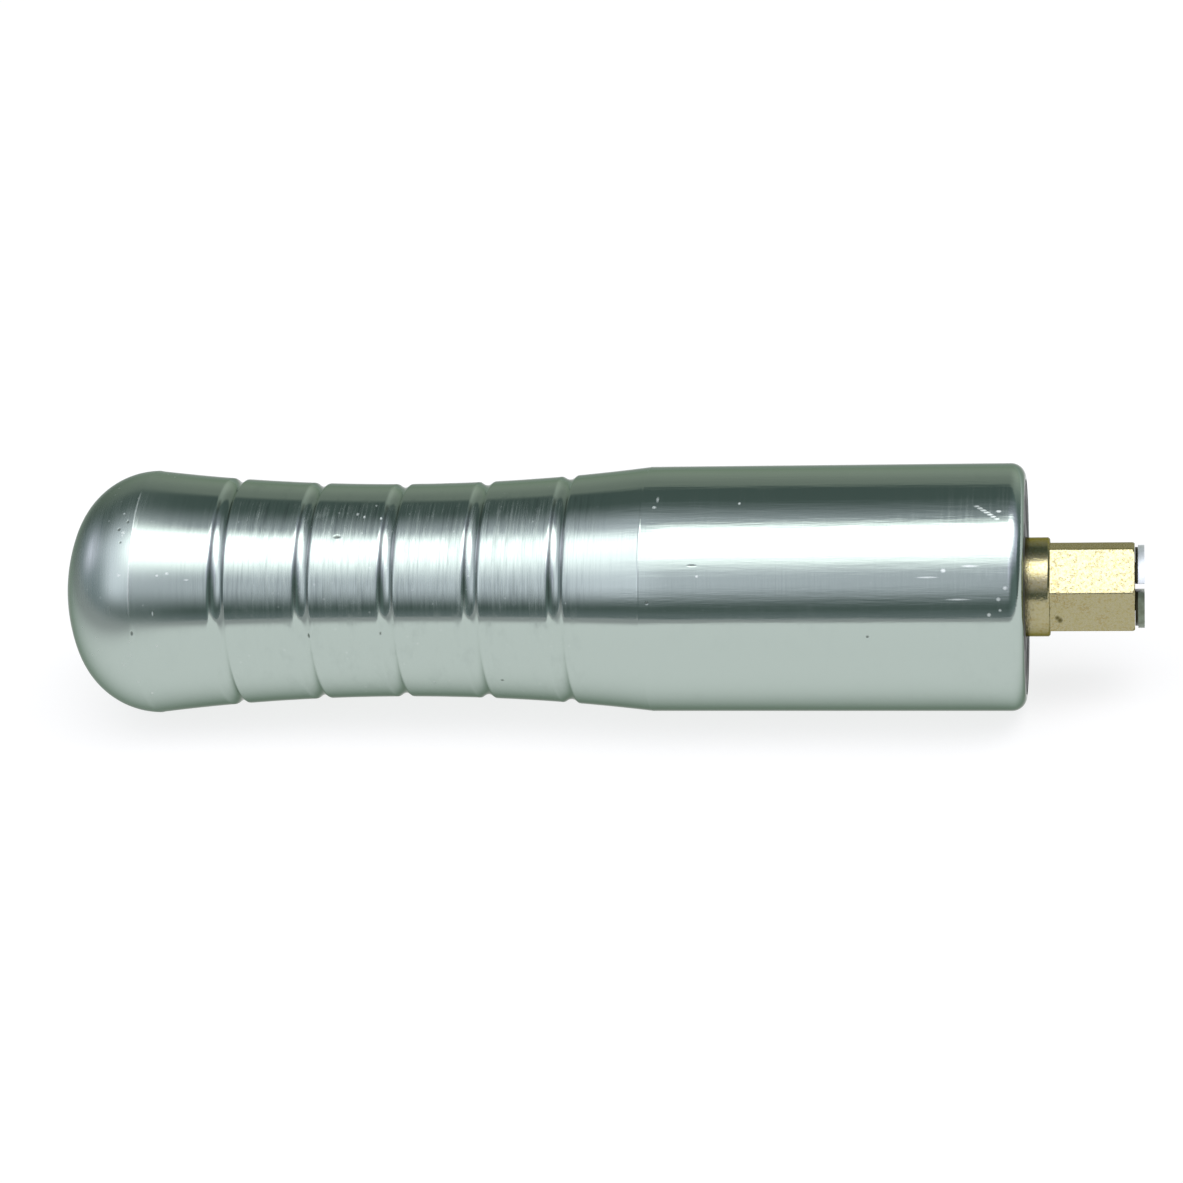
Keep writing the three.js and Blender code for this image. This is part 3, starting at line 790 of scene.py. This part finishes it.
def hexagon_angles():
    """Angles round the hexagon, close together where its edges are rounded."""
    angles = []
    for side in range(6):
        corner = math.radians(HEX_FLAT_DEGREES + 30 + 60 * side)
        bend = math.asin(math.sin(math.radians(30)) * HEX_EDGE_ROUNDING / (HEX_ACROSS_FLATS / 2))
        angles += [corner + bend * i / 4 for i in range(-4, 5)]
        flat = math.radians(60) - 2 * bend
        angles += [corner + bend + flat * i / 18 for i in range(1, 18)]
    return angles


def hexagon_radius(angle):
    """Distance from the axis to the rounded hexagon."""
    apothem = HEX_ACROSS_FLATS / 2
    off_corner = math.degrees(angle) - HEX_FLAT_DEGREES - 30
    off_corner = math.radians((off_corner + 30) % 60 - 30)
    centre = (apothem - HEX_EDGE_ROUNDING) / math.cos(math.radians(30))
    inside = HEX_EDGE_ROUNDING**2 - (centre * math.sin(off_corner))**2
    flat = apothem / math.cos(math.radians(30) - abs(off_corner))
    reach = HEX_EDGE_ROUNDING * math.sin(math.radians(30))
    tangent = math.atan(reach / (centre + HEX_EDGE_ROUNDING * math.cos(math.radians(30))))
    return centre * math.cos(off_corner) + math.sqrt(inside) if abs(off_corner) < tangent else flat


def spindle_outline(angle):
    """Outline of the spindle at an angle round the axis, from its end in the grip to the end of its hole."""
    end, hex_end, _ = span("spindle")
    _, bearing_face, _ = span("mouth_bearing_inner_ring")
    clip_low, clip_high, _ = span("journal_retaining_ring")
    tip_low, tip_high, _ = span("tip_retaining_ring")
    journal = BEARINGS["mouth_bearing"]["bore"] / 2
    tip_journal = BEARINGS["tip_bearing"]["bore"] / 2
    shoulder = span("tip_bearing_inner_ring")[1] + FIT
    collar_back = bearing_face + FIT
    side = hexagon_radius(angle)
    chamfer = max(side - HEX_END_RADIUS, HEX_END_EDGE)
    edge = min(HEX_END_RADIUS, side - HEX_END_EDGE)
    hole_end = hex_end - THREAD_DEPTH
    return rounded([
        (end, 0.0), (end, tip_journal - SPINDLE_END_CHAMFER, 0.1),
        (end + SPINDLE_END_CHAMFER, tip_journal, 0.1),
        (tip_low - FIT, tip_journal), (tip_low - FIT, TIP_CLIP_GROOVE_RADIUS),
        (tip_high + FIT, TIP_CLIP_GROOVE_RADIUS), (tip_high + FIT, tip_journal),
        (shoulder, tip_journal), (shoulder, journal, 0.2),
        (clip_low - FIT, journal), (clip_low - FIT, JOURNAL_CLIP_GROOVE_RADIUS),
        (clip_high + FIT, JOURNAL_CLIP_GROOVE_RADIUS), (clip_high + FIT, journal),
        (collar_back, journal), (collar_back, COLLAR_RADIUS, 0.2),
        (-COLLAR_CHAMFER, COLLAR_RADIUS, 0.12), (0.0, COLLAR_RADIUS - COLLAR_CHAMFER, 0.1),
        (0.0, side, 0.08), (hex_end - chamfer, side, 0.02), (hex_end, edge, 0.02),
        (hex_end, THREAD_RADIUS + THREAD_CHAMFER), (hex_end - THREAD_CHAMFER, THREAD_RADIUS),
        (hole_end, THREAD_RADIUS), (hole_end, 0.0),
    ])


def spindle():
    piece = turned("turned_spindle", spindle_outline, hexagon_angles(), closed=False)
    stand_for(piece, "spindle", "spindle_brass")


def end_screw():
    """Cheese-head screw with a slot cut through its head."""
    low, high, _ = span("end_screw")
    seat = span("spindle")[1] + SCREW_SEAT_GAP
    head = high - SCREW_HEAD_THICKNESS
    shank = THREAD_RADIUS - 2 * FIT
    outline = [
        (low, 0.0), (low, shank - THREAD_CHAMFER), (low + THREAD_CHAMFER, shank), (seat, shank),
        (seat, SCREW_NECK_RADIUS), (head, SCREW_NECK_RADIUS), (head, SCREW_RADIUS), (high, SCREW_RADIUS),
        (high, 0.0),
    ]
    screw = turned("slotted_screw", outline, full_turn(96), closed=False)
    slot = bmesh.new()
    depth = high - seat + SLOT_OVERCUT
    place = Matrix.Translation((high * MM, 0, 0)) @ Matrix.Rotation(math.radians(-SLOT_DEGREES), 4, "X")
    size = Matrix.Diagonal((2 * depth * MM, 4 * SCREW_RADIUS * MM, SLOT_WIDTH * MM, 1))
    bmesh.ops.create_cube(slot, size=1.0, matrix=place @ size)
    combined(screw, "DIFFERENCE", finished("tool", slot))
    stand_for(softened(screw, 0.05), "end_screw", "screw_steel")


# ---- Bearings ----

def bearing_ring(name, bearing, side):
    """Outer ring where side is 1, inner ring where it is -1."""
    low, high, _ = span(name)
    middle = (low + high) / 2
    pitch = (bearing["bore"] + bearing["outside"]) / 4
    ball = bearing["ball"] / 2
    shoulder = SHOULDER * ball
    wall = bearing["outside"] / 2 if side > 0 else bearing["bore"] / 2 + FIT
    land = pitch + side * shoulder
    race = ball + FIT
    edge = math.degrees(math.asin(shoulder / race))
    outline = rounded([
        (low, land, 0.08), (low, wall, BEARING_CORNER), (high, wall, BEARING_CORNER), (high, land, 0.08),
    ])
    return turned(name + "_ground", outline + arc(middle, pitch, race, side * edge, side * (180 - edge), 20))


def bearing_cage(name, bearing):
    """Moulded band with a round pocket for each ball."""
    low, high, _ = span(name)
    middle = (low + high) / 2
    pitch = (bearing["bore"] + bearing["outside"]) / 4
    reach = CAGE_REACH * bearing["ball"] / 2
    outline = [(low, pitch - reach), (high, pitch - reach), (high, pitch + reach), (low, pitch + reach)]
    cage = turned(name + "_moulded", outline, full_turn(112))
    pockets = []
    for angle in full_turn(bearing["balls"]):
        out = Vector((0, math.cos(angle), math.sin(angle)))
        centre = Vector((middle, 0, 0)) + pitch * out
        pockets.append(peg(bearing["ball"] / 2 + POCKET_PLAY, 6 * reach, centre, out))
    combined(cage, "DIFFERENCE", *pockets)
    return softened(cage, 0.08)


def bearing_seal(name, bearing, outward):
    """Seal with a raised lip and a shallow groove on its outer face."""
    low, high, outer = span(name)
    inner = outer - SHOULDER * bearing["ball"] + RUN + FIT
    face, back = (high, low) if outward > 0 else (low, high)
    groove = face - outward * SEAL_GROOVE_DEPTH
    lip = (outer - inner) / 3
    floor_edge = (1 + SEAL_GROOVE_SLOPE) * lip
    outline = rounded([
        (back, inner, 0.08), (face, inner, 0.08),
        (face, inner + lip, 0.05), (groove, inner + floor_edge, 0.05),
        (groove, outer - floor_edge, 0.05), (face, outer - lip, 0.05),
        (face, outer, 0.08), (back, outer, 0.08),
    ])
    return turned(name + "_moulded", outline)


def bearing_ball(name, radius, centre):
    """Ball whose poles lie on the X axis, moved from the axis to its place."""
    ball = turned(name + "_lapped", arc(0, 0, radius, 180, 0, 32), full_turn(48), closed=False)
    ball.data.transform(Matrix.Translation(centre))
    return ball


def bearings():
    for name, bearing in BEARINGS.items():
        for side, ring in ((1, "_outer_ring"), (-1, "_inner_ring")):
            stand_for(bearing_ring(name + ring, bearing, side), name + ring, "bearing_steel")
        stand_for(bearing_cage(name + "_cage", bearing), name + "_cage", "cage_plastic")
        for outward, seal in ((1, "_arm_side_seal"), (-1, "_tip_side_seal")):
            stand_for(bearing_seal(name + seal, bearing, outward), name + seal, "black_seal")
        for i in range(bearing["balls"]):
            node = f"{name}_ball_{i + 1}"
            low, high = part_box(node)
            stand_for(bearing_ball(node, bearing["ball"] / 2, (low + high) / 2), node, "bearing_steel")


# ---- Retaining rings and wave washer ----

def retaining_ring(node, inner, outer, lug, inward, gap):
    """C-shaped ring that narrows towards two holed lugs."""
    low, high, _ = span(node)
    half = math.radians(gap / 2)
    steps = 96
    mesh = bmesh.new()
    sections = []
    for i in range(steps + 1):
        angle = half + (2 * math.pi - 2 * half) * i / steps
        taper = RING_TAPER * (outer - inner) * math.cos(angle / 2)**2
        edges = (inner + taper, outer) if inward else (inner, outer - taper)
        out = Vector((0, math.sin(angle), math.cos(angle)))
        corners = ((low, edges[0]), (high, edges[0]), (high, edges[1]), (low, edges[1]))
        sections.append([mesh.verts.new((Vector((x, 0, 0)) + r * out) * MM) for x, r in corners])
    for one, two in zip(sections, sections[1:]):
        for i in range(4):
            j = (i + 1) % 4
            mesh.faces.new((one[i], one[j], two[j], two[i]))
    mesh.faces.new(sections[0])
    mesh.faces.new(sections[-1])
    ring = finished(node + "_stamped", mesh)
    reach = inner - lug / 3 if inward else outer + lug / 3
    axis = Vector((1, 0, 0))
    angle = half + lug / outer
    for side in (-1, 1):
        centre = Vector(((low + high) / 2, side * reach * math.sin(angle), reach * math.cos(angle)))
        combined(ring, "UNION", peg(lug, high - low, centre, axis))
        combined(ring, "DIFFERENCE", peg(RING_EYE_RADIUS, 4 * (high - low), centre, axis))
    stand_for(softened(ring, 0.06), node, "spring_steel")


def wave_washer():
    """Flat ring pressed into waves, so that it springs."""
    low, high, outer = span("wave_washer")
    wave = (high - low - WASHER_THICKNESS) / 2
    middle = (low + high) / 2
    half = WASHER_THICKNESS / 2
    inner = outer - WASHER_WIDTH
    section = rounded([(-half, inner, 0.08), (half, inner, 0.08), (half, outer, 0.08), (-half, outer, 0.08)])

    def outline(angle):
        shift = middle + wave * math.cos(WASHER_WAVES * (angle + math.pi))
        return [(x + shift, r) for x, r in section]

    stand_for(turned("crimped_washer", outline, full_turn(144)), "wave_washer", "spring_steel")


grip()
dust_cover()
spindle()
end_screw()
bearings()
for ring_node, ring_sizes in RETAINING_RINGS.items():
    retaining_ring(ring_node, **ring_sizes)
wave_washer()

# ---- Floor ----

FLOOR_SIZE = 8.0
FLOOR_COLOR = (0.22, 0.22, 0.22, 1)
FLOOR_GLOW = 0.77
FLOOR_GLOW_FAR = 0.2
FLOOR_FADE_SIDE = (-0.22, -0.137)  # metres along the X axis where the glow is far, then full
FLOOR_FADE_FRONT = (-0.32, -0.28)  # and along the Y axis
FLOOR_FADE_SLANT = 0.3  # of Y, added to X


def floor():
    """Pale light table, dimmer far out in front and on the side of the grip's dome."""
    mesh = bmesh.new()
    bmesh.ops.create_grid(mesh, x_segments=1, y_segments=1, size=FLOOR_SIZE / 2)
    surface = finished("floor", mesh)
    surface.location = (0, 0, cad_low[2])
    material, graph, shader = new_material("pale_floor", metallic=0.0)
    shader.inputs["Base Color"].default_value = FLOOR_COLOR
    shader.inputs["Roughness"].default_value = 0.9
    shader.inputs["Emission Color"].default_value = (1, 1, 1, 1)
    slant = graph.math("MULTIPLY", graph.place_on("Y"), FLOOR_FADE_SLANT)
    side = graph.smooth(graph.math("ADD", graph.place_on("X"), slant), *FLOOR_FADE_SIDE)
    near = graph.math("MULTIPLY", side, graph.smooth(graph.place_on("Y"), *FLOOR_FADE_FRONT))
    graph.put(shader.inputs["Emission Strength"], graph.between(near, FLOOR_GLOW_FAR, FLOOR_GLOW))
    surface.data.materials.append(material)


floor()

# ---- Studio light ----

# The room is dim, and soft panels light it. Each panel is placed in degrees: round the object's axis, from
# the front horizon (0) over the top (90) to the back horizon (180), and along the axis, towards +X. Of its
# four angles, the light rises between the first two and falls between the last two. The tilt turns the
# panel's edges, in degrees round for each degree along.
ROOM_LIGHT = (0.112, 0.15, 0.143)
PANELS = {
    "softbox": {
        "round": (40, 79, 80, 98), "along": (-39, 14, 15, 55), "tilt": 0.32, "light": (4.6, 4.6, 4.5),
    },
    "front_fill": {
        "round": (8, 33, 76, 121), "along": (-64, -40, -39, 36), "tilt": 0.0, "light": (1.2, 1.16, 1.35),
    },
    "cool_fill": {
        "round": (9, 58, 59, 116), "along": (0, 6, 60, 69), "tilt": 0.6, "light": (0.77, 0.67, 0.93),
    },
    "front_low": {
        "round": (-12, -8, 1, 10), "along": (-68, -36, 60, 67), "tilt": 0.0, "light": (0.1, 0.1, 0.12),
    },
    "rear_wall": {
        "round": (135, 142, 198, 211), "along": (-58, -25, 20, 53), "tilt": -0.15, "light": (0.2, 0.2, 0.17),
    },
    "rear_glow": {
        "round": (140, 190, 198, 211), "along": (-50, -17, 10, 53), "tilt": -0.2, "light": (0.7, 0.68, 0.62),
    },
    "rear_lamp": {
        "round": (63, 121, 142, 146), "along": (-84, -69, -68, -52), "tilt": 0.0, "light": (1.1, 0.95, 1.2),
    },
    "left_wall": {
        "round": (-74, 69, 193, 209), "along": (-94, -90, -60, -46), "tilt": 0.0, "light": (0.26, 0.27, 0.33),
    },
    "right_wall": {
        "round": (-74, -60, 200, 212), "along": (0, 50, 62, 78), "tilt": 0.0, "light": (0.07, 0.09, 0.09),
    },
}


def studio_world():
    world = bpy.data.worlds.new("studio")
    bpy.context.scene.world = world
    world.use_nodes = True
    graph = Graph(world.node_tree)
    direction = graph.add("TexCoord", {}).outputs["Generated"]
    split = graph.add("SeparateXYZ", {0: direction})
    front = graph.math("MULTIPLY", split.outputs["Y"], -1.0)
    around = graph.math("DEGREES", graph.math("ARCTAN2", split.outputs["Z"], front))
    around = graph.math("WRAP", around, 270.0, -90.0)
    along = graph.math("DEGREES", graph.math("ARCSINE", split.outputs["X"]))
    light = ROOM_LIGHT
    for panel in PANELS.values():
        upright = graph.math("SUBTRACT", around, graph.math("MULTIPLY", along, panel["tilt"]))
        mask = 1.0
        for angle, (rise, full, fading, gone) in ((upright, panel["round"]), (along, panel["along"])):
            mask = graph.math("MULTIPLY", mask, graph.smooth(angle, rise, full))
            mask = graph.math("MULTIPLY", mask, graph.smooth(angle, gone, fading))
        glow = graph.add("VectorMath", {0: panel["light"], "Scale": mask}, operation="SCALE").outputs[0]
        light = graph.add("VectorMath", {0: light, 1: glow}, operation="ADD").outputs[0]
    graph.put(graph.nodes["Background"].inputs["Color"], light)


studio_world()

# ---- Camera ----

towards = Vector((0, math.cos(CAMERA_ELEVATION), -math.sin(CAMERA_ELEVATION)))
along_axis = Vector((1, 0, 0))
view_forward = towards * math.cos(CAMERA_YAW) - along_axis * math.sin(CAMERA_YAW)
view_right = along_axis * math.cos(CAMERA_YAW) + towards * math.sin(CAMERA_YAW)
view_up = view_right.cross(view_forward)
turn = Matrix((view_right, view_up, -view_forward)).transposed()
turn = turn @ Matrix.Rotation(CAMERA_PITCH, 3, "X") @ Matrix.Rotation(-CAMERA_ROLL, 3, "Z")
camera = bpy.data.objects.new("camera", bpy.data.cameras.new("camera"))
bpy.context.scene.collection.objects.link(camera)
camera_place = along_axis * CAMERA_ALONG - towards * CAMERA_DISTANCE
camera.matrix_world = Matrix.Translation(camera_place) @ turn.to_4x4()
camera.data.sensor_width = CAMERA_SENSOR_WIDTH
camera.data.lens = CAMERA_LENS
bpy.context.scene.camera = camera
bpy.context.scene.view_settings.view_transform = "Standard"
